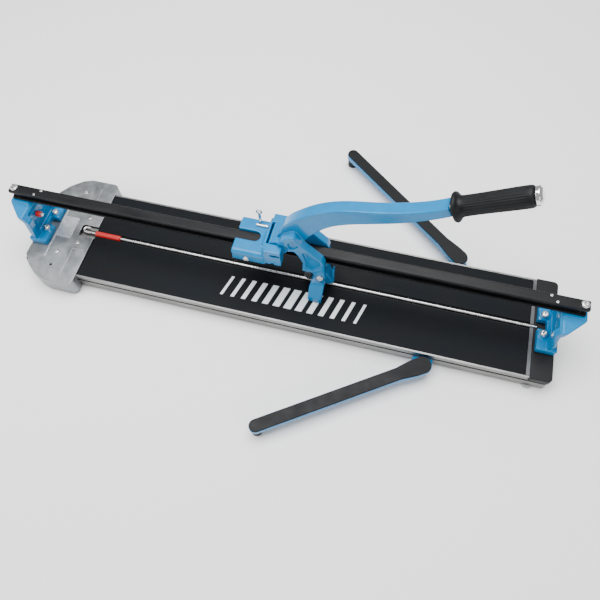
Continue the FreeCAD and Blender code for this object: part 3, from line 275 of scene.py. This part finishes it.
black_plastic = finish("black_plastic", (0.004, 0.0043, 0.005), 0.45, specular=0.22)
moulded = grain(black_plastic, (1500, 1500, 1500), detail=2.0)
fingered = grain(black_plastic, (30, 30, 30), detail=5.0)
drive(black_plastic, "Base Color", blended(black_plastic, spread(black_plastic, fingered, 0.0, 1.0),
                                           solid((0.0035, 0.0038, 0.0045)), solid((0.0065, 0.007, 0.008))))
drive(black_plastic, "Roughness", spread(black_plastic, fingered, 0.36, 0.55))
relief(black_plastic, 0.0008, (moulded, 0.0001, 0.2))
coat_nodes(black_plastic, "rod_bed")

# ---- Head plate
# A folded steel plate over the left end, ground and scratched from use, with corner lines cut into its
# top. A zinc-bright stop bar and a thin scale plate lie on it. The scoring wheel's holder is the same
# steel, and the strip before the end block is a darker one.

plate_steel = finish("plate_steel", (0.26, 0.275, 0.28), 0.4, metallic=1.0)
ground = grain(plate_steel, (900, 12, 900), detail=3.0)
patches = grain(plate_steel, (35, 25, 25), detail=6.0, roughness=0.7)
scratches = grain(plate_steel, (500, 18, 30), detail=2.0)
scratched = spread(plate_steel, scratches, 0.0, 0.8, 0.66, 0.78)
plate_tone = blended(plate_steel, spread(plate_steel, patches, 0.0, 1.0, 0.35, 0.68),
                     solid((0.21, 0.225, 0.235)), solid((0.30, 0.315, 0.32)))
plate_tone = blended(plate_steel, scratched, plate_tone, solid((0.48, 0.48, 0.48)))
drive(plate_steel, "Base Color", blended(plate_steel, edge_wear(plate_steel, 0.0008), plate_tone,
                                         solid((0.66, 0.66, 0.66))))
drive(plate_steel, "Roughness", spread(plate_steel, patches, 0.30, 0.52))
relief(plate_steel, 0.0005, (ground, 0.00006, 0.25), (patches, 0.0004, 0.12))
coat_nodes(plate_steel, "head_plate", "wheel_holder")

dark_strip = finish("dark_strip", (0.085, 0.09, 0.095), 0.42, metallic=1.0)
strip_wear = grain(dark_strip, (60, 60, 60), detail=5.0)
drive(dark_strip, "Base Color", blended(dark_strip, spread(dark_strip, strip_wear, 0.0, 1.0),
                                        solid((0.07, 0.075, 0.08)), solid((0.12, 0.125, 0.13))))
drive(dark_strip, "Roughness", spread(dark_strip, strip_wear, 0.36, 0.5))
relief(dark_strip, 0.0004, (strip_wear, 0.0001, 0.1))
coat_nodes(dark_strip, "end_strip")

zinc = finish("zinc_plate", (0.62, 0.64, 0.66), 0.32, metallic=1.0)
spangle = node(zinc, "TexVoronoi", {"Vector": node(zinc, "TexCoord", {}).outputs["Object"], "Scale": 260.0})
drive(zinc, "Base Color", blended(zinc, spread(zinc, grain(zinc, (60, 60, 60)), 0.0, 1.0),
                                  solid((0.48, 0.50, 0.53)), solid((0.72, 0.74, 0.76))))
drive(zinc, "Roughness", spread(zinc, spangle.outputs["Distance"], 0.26, 0.42, 0.1, 0.6))
relief(zinc, 0.0004, (grain(zinc, (900, 12, 900), detail=3.0), 0.00005, 0.2))
coat_nodes(zinc, "fence_strip", "cover_plate")

# ---- End block and end cap
# A black moulded block closes the tray at the right, and a flat cap at the left. Both are glass-filled
# nylon, lightly grained, with softened corners, and so is the plug over the lever's pivot pin.

coat_nodes(black_plastic, "end_block", "left_end_cap", "pivot_plug")

# ---- Rail
# A bar with a groove down each side for the rollers, blackened and oiled. The carriage has polished its
# long edges a little.

black_paint = finish("black_paint", (0.004, 0.0043, 0.005), 0.38, specular=0.22)
speckle = grain(black_paint, (1300, 1300, 1300), detail=2.0)
drawn = grain(black_paint, (4, 700, 700), detail=3.0)
sheen = grain(black_paint, (12, 60, 60), detail=4.0)
worn_where = spread(black_paint, drawn, 0.0, 1.0, 0.4, 0.7)
worn = node(black_paint, "Math", {0: edge_wear(black_paint, 0.0007), 1: worn_where},
            operation="MULTIPLY").outputs[0]
black_tone = blended(black_paint, spread(black_paint, sheen, 0.0, 1.0), solid((0.0035, 0.0038, 0.0044)),
                     solid((0.007, 0.0075, 0.0085)))
drive(black_paint, "Base Color", blended(black_paint, worn, black_tone, solid((0.09, 0.09, 0.09))))
drive(black_paint, "Roughness", spread(black_paint, sheen, 0.30, 0.48))
relief(black_paint, 0.0006, (speckle, 0.00008, 0.2), (drawn, 0.00005, 0.15))
coat_nodes(black_paint, "rail")

# ---- Castings
# The rail supports, the carriage, the lever, the breaker foot and the side arms with their brackets are
# aluminium castings under a bright blue stove enamel, with rounded edges and a slight orange peel.

enamel = finish("blue_enamel", (0.0, 0.17, 0.40), 0.24, coat=0.15, specular=0.25)
enamel.node_tree.nodes["Principled BSDF"].inputs["Coat Roughness"].default_value = 0.08
peel = grain(enamel, (420, 420, 420), detail=2.0)
swell = grain(enamel, (55, 55, 55), detail=3.0)
dirt = grain(enamel, (120, 120, 120), detail=6.0, roughness=0.7)
enamel_tone = blended(enamel, spread(enamel, swell, 0.0, 1.0), solid((0.0, 0.165, 0.39)),
                      solid((0.0, 0.19, 0.44)))
enamel_tone = blended(enamel, spread(enamel, dirt, 0.0, 0.3, 0.7, 0.9), enamel_tone,
                      solid((0.005, 0.06, 0.15)))
drive(enamel, "Base Color", enamel_tone)
drive(enamel, "Roughness", spread(enamel, dirt, 0.18, 0.30, 0.4, 0.75))
relief(enamel, 0.0006, (peel, 0.00006, 0.12), (swell, 0.0003, 0.08))

voxel = 0.0009
smoothing_rounds = 6
merge_distance = 1e-6
castings = {"left_support": "base", "right_support": "base", "carriage_body": "carriage",
            "lever_casting": "lever", "breaker_foot": "breaker_foot"}


def softened_casting(source):
    """A closed copy of a CAD node, with edges rounded as the mould and the enamel leave them."""
    copy = new_object(source + "_enamelled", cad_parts[source].data.copy())
    loose = bmesh.new()
    loose.from_mesh(copy.data)
    bmesh.ops.remove_doubles(loose, verts=loose.verts, dist=merge_distance)
    loose.to_mesh(copy.data)
    loose.free()
    skin = copy.modifiers.new("skin", "REMESH")
    skin.mode = "VOXEL"
    skin.voxel_size = voxel
    rounding = copy.modifiers.new("rounding", "SMOOTH")
    rounding.factor = 0.5
    rounding.iterations = smoothing_rounds
    graph = bpy.context.evaluated_depsgraph_get()
    mesh = bpy.data.meshes.new_from_object(copy.evaluated_get(graph))
    copy.modifiers.clear()
    copy.data = mesh
    mesh.materials.clear()
    mesh.materials.append(enamel)
    for face in mesh.polygons:
        face.use_smooth = True
    return copy


for source, body in castings.items():
    casting = softened_casting(source)
    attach(casting, body)
    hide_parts(source)
coat_nodes(enamel, "front_bracket", "rear_bracket", "front_swing_arm", "rear_swing_arm")

# ---- Side arm pads and rubber feet
# Each side arm has a strip of black rubber glued on top to carry the tile's overhang, and a round rubber
# foot under its tip. Five feet of pale grey rubber stand under the tray.

foot_rubber = finish("foot_rubber", (0.004, 0.0045, 0.0055), 0.55, specular=0.2)
dust = grain(foot_rubber, (40, 40, 40), detail=6.0, roughness=0.7)
fine_skin = grain(foot_rubber, (1100, 1100, 1100), detail=2.0)
drive(foot_rubber, "Base Color", blended(foot_rubber, spread(foot_rubber, dust, 0.0, 1.0, 0.4, 0.75),
                                         solid((0.0035, 0.004, 0.005)), solid((0.009, 0.010, 0.0115))))
drive(foot_rubber, "Roughness", spread(foot_rubber, dust, 0.42, 0.68))
relief(foot_rubber, 0.0006, (fine_skin, 0.00012, 0.25))
coat_nodes(foot_rubber, "front_arm_pad", "rear_arm_pad", "front_arm_foot", "rear_arm_foot")

pale_rubber = finish("pale_rubber", (0.42, 0.43, 0.44), 0.6)
tread = grain(pale_rubber, (70, 70, 70), detail=6.0, roughness=0.7)
drive(pale_rubber, "Base Color", blended(pale_rubber, spread(pale_rubber, tread, 0.0, 1.0, 0.4, 0.75),
                                         solid((0.45, 0.46, 0.47)), solid((0.28, 0.285, 0.29))))
drive(pale_rubber, "Roughness", spread(pale_rubber, tread, 0.5, 0.7))
relief(pale_rubber, 0.0006, (tread, 0.0001, 0.2))
coat_nodes(pale_rubber, "base_feet")

# ---- Grip
# A black rubber handgrip drawn over the lever's tang. It has a thick flange against the hand's slip,
# shallow flutes along its length and a rolled end under the chrome cap.

grip_tilt = math.radians(30)
along = Vector((math.cos(grip_tilt), 0, math.sin(grip_tilt)))
beside = Vector((0, 1, 0))
upward = Vector((-math.sin(grip_tilt), 0, math.cos(grip_tilt)))
grip_length = 0.107
cap_length = 0.008
bore = 0.0083
flutes = 28
flute_depth = 0.00045
flute_run_out = 0.006
points_per_flute = 8
silhouette = [(0.0, 0.0185), (0.0012, 0.0212), (0.0034, 0.0220), (0.0056, 0.0212), (0.0072, 0.0192),
              (0.0088, 0.0168), (0.0112, 0.0155), (0.0150, 0.0150), (0.0300, 0.0148), (0.0500, 0.0150),
              (0.0700, 0.0153), (0.0850, 0.0155), (0.0960, 0.0155), (0.1010, 0.0154), (0.1042, 0.0148),
              (0.1060, 0.0138), (0.1070, 0.0120)]
collar_points = 8
end_points = 4
station_start = 0.0155
station_step = 0.0015
station_count = 57
fluted_from = 0.014
fluted_to = 0.101


def middle(name):
    low, high = (Vector(corner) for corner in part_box(name))
    return (low + high) / 2


def axis_start():
    """Where the grip begins on the tang's axis: its own length back from the chrome cap."""
    tang_middle = middle("handle_tang")
    to_cap = (middle("end_cap") - tang_middle).dot(along)
    return tang_middle + along * (to_cap - cap_length / 2 - grip_length)


def radius_at(distance):
    """The silhouette's radius at a distance along the grip, read off straight between its points."""
    for (d0, r0), (d1, r1) in zip(silhouette, silhouette[1:]):
        if distance <= d1:
            share = (distance - d0) / (d1 - d0)
            return r0 + (r1 - r0) * share
    return silhouette[-1][1]


def flute(turn, distance):
    """How deep a flute is cut there: round-bottomed, and running out at both ends."""
    if distance < fluted_from or distance > fluted_to:
        return 0.0
    run_out = min(distance - fluted_from, fluted_to - distance) / flute_run_out
    return flute_depth * min(1.0, run_out) * abs(math.cos(turn * flutes / 2)) ** 3


def make_grip():
    around = flutes * points_per_flute
    stations = [point[0] for point in silhouette[:collar_points]]
    stations += [station_start + i * station_step for i in range(station_count)]
    stations += [point[0] for point in silhouette[-end_points:]]
    start = axis_start()
    shape = bmesh.new()
    rings = []
    outside = [(d, radius_at(d), True) for d in stations]
    profile = [(0.0, bore, False)] + outside + [(grip_length, bore, False)]
    for distance, radius, cut in profile:
        ring = []
        for i in range(around):
            turn = 2 * math.pi * i / around
            reach = radius - (flute(turn, distance) if cut else 0.0)
            out = beside * math.cos(turn) + upward * math.sin(turn)
            ring.append(shape.verts.new(start + along * distance + out * reach))
        rings.append(ring)
    for before, after in zip(rings, rings[1:] + rings[:1]):
        for i in range(around):
            j = (i + 1) % around
            shape.faces.new((before[i], before[j], after[j], after[i]))
    bmesh.ops.recalc_face_normals(shape, faces=shape.faces)
    mesh = bpy.data.meshes.new("grip_rubber")
    shape.to_mesh(mesh)
    shape.free()
    for face in mesh.polygons:
        face.use_smooth = True
    mesh.materials.append(foot_rubber)
    return new_object("grip_rubber", mesh)


grip = make_grip()
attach(grip, "lever")
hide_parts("grip")

chrome = finish("chrome", (0.86, 0.86, 0.87), 0.07, metallic=1.0)
fog = grain(chrome, (130, 130, 130), detail=5.0)
drive(chrome, "Roughness", spread(chrome, fog, 0.04, 0.2, 0.4, 0.8))
relief(chrome, 0.0005, (fog, 0.00005, 0.1))
coat_nodes(chrome, "end_cap")

# ---- Screws, bolts, pins and rollers
# The bolts, screws, pins, rollers and axles, the grip's tang and the ring-headed lock screw are bright
# steel. The lever turns on a bronze bush, and the scoring wheel is carbide.

coat_nodes(bright_steel, "head_screws", "rail_bolts", "rail_screws", "support_bolts", "buffer_bolt",
           "roller_axles", "pivot_pin", "barrel_pin", "lock_screw", "roller_front_left",
           "roller_front_right", "roller_rear_left", "roller_rear_right", "handle_tang", "wheel_axle",
           "foot_bolt", "foot_nut", "bracket_screws", "arm_bolts")

bronze = finish("bronze", (0.60, 0.40, 0.16), 0.3, metallic=1.0)
oiled = grain(bronze, (150, 150, 150), detail=4.0)
drive(bronze, "Base Color", blended(bronze, spread(bronze, oiled, 0.0, 1.0), solid((0.45, 0.29, 0.11)),
                                    solid((0.68, 0.47, 0.21))))
drive(bronze, "Roughness", spread(bronze, oiled, 0.22, 0.4))
coat_nodes(bronze, "pivot_bush")

carbide = finish("carbide", (0.38, 0.38, 0.40), 0.22, metallic=1.0)
honed = grain(carbide, (2500, 300, 2500), detail=2.0)
drive(carbide, "Roughness", spread(carbide, honed, 0.14, 0.34))
relief(carbide, 0.0002, (honed, 0.00003, 0.2))
coat_nodes(carbide, "scoring_wheel")

# ---- Studio
# A plain pale floor that runs far out, soft light from a wide overhead panel and two weaker side panels,
# and a camera above and in front of the cutter that looks down on it.


floor_half = 30.0
floor_drop = 0.0002
camera_place = (0.1931, -0.5011, 0.9815)
camera_turns = (2.693, 0.139, 0.215)


def make_floor():
    mesh = bpy.data.meshes.new("floor")
    corners = [(-1, -1), (1, -1), (1, 1), (-1, 1)]
    mesh.from_pydata([(x * floor_half, y * floor_half, -floor_drop) for x, y in corners], [], [(0, 1, 2, 3)])
    pale = finish("pale_floor", (0.93, 0.93, 0.93), 0.8)
    mottle = grain(pale, (6, 6, 6), detail=3.0)
    drive(pale, "Roughness", spread(pale, mottle, 0.75, 0.85))
    mesh.materials.append(pale)
    return new_object("floor", mesh)


def panel_light(name, place, target, size, watts):
    lamp = bpy.data.lights.new(name, "AREA")
    lamp.shape = "RECTANGLE"
    lamp.size, lamp.size_y = size
    lamp.energy = watts
    made = bpy.data.objects.new(name, lamp)
    bpy.context.scene.collection.objects.link(made)
    made.location = place
    made.rotation_euler = (Vector(target) - Vector(place)).to_track_quat("-Z", "Y").to_euler()


make_floor()
panel_light("overhead", (-0.2, 0.3, 2.4), (0, 0, 0), (2.6, 1.6), 130)
panel_light("left_panel", (-2.2, -1.0, 1.3), (0, 0, 0.1), (1.4, 1.2), 26)
panel_light("right_panel", (1.9, -1.6, 1.5), (0, 0, 0.1), (1.2, 1.0), 18)

sky = bpy.data.worlds.new("studio")
sky.use_nodes = True
sky.node_tree.nodes["Background"].inputs["Color"].default_value = (1, 1, 1, 1)
sky.node_tree.nodes["Background"].inputs["Strength"].default_value = 0.45
bpy.context.scene.world = sky

view = bpy.data.cameras.new("view")
view.lens = 33.68
view.sensor_width = 36
view.clip_end = 100
camera = bpy.data.objects.new("view", view)
bpy.context.scene.collection.objects.link(camera)
about_x, about_y, about_z = (Matrix.Rotation(turn, 3, axis) for turn, axis in zip(camera_turns, "XYZ"))
facing = (Matrix(((1, 0, 0), (0, -1, 0), (0, 0, -1))) @ about_z @ about_y @ about_x).transposed()
camera.matrix_world = Matrix.Translation(camera_place) @ facing.to_4x4()
bpy.context.scene.camera = camera
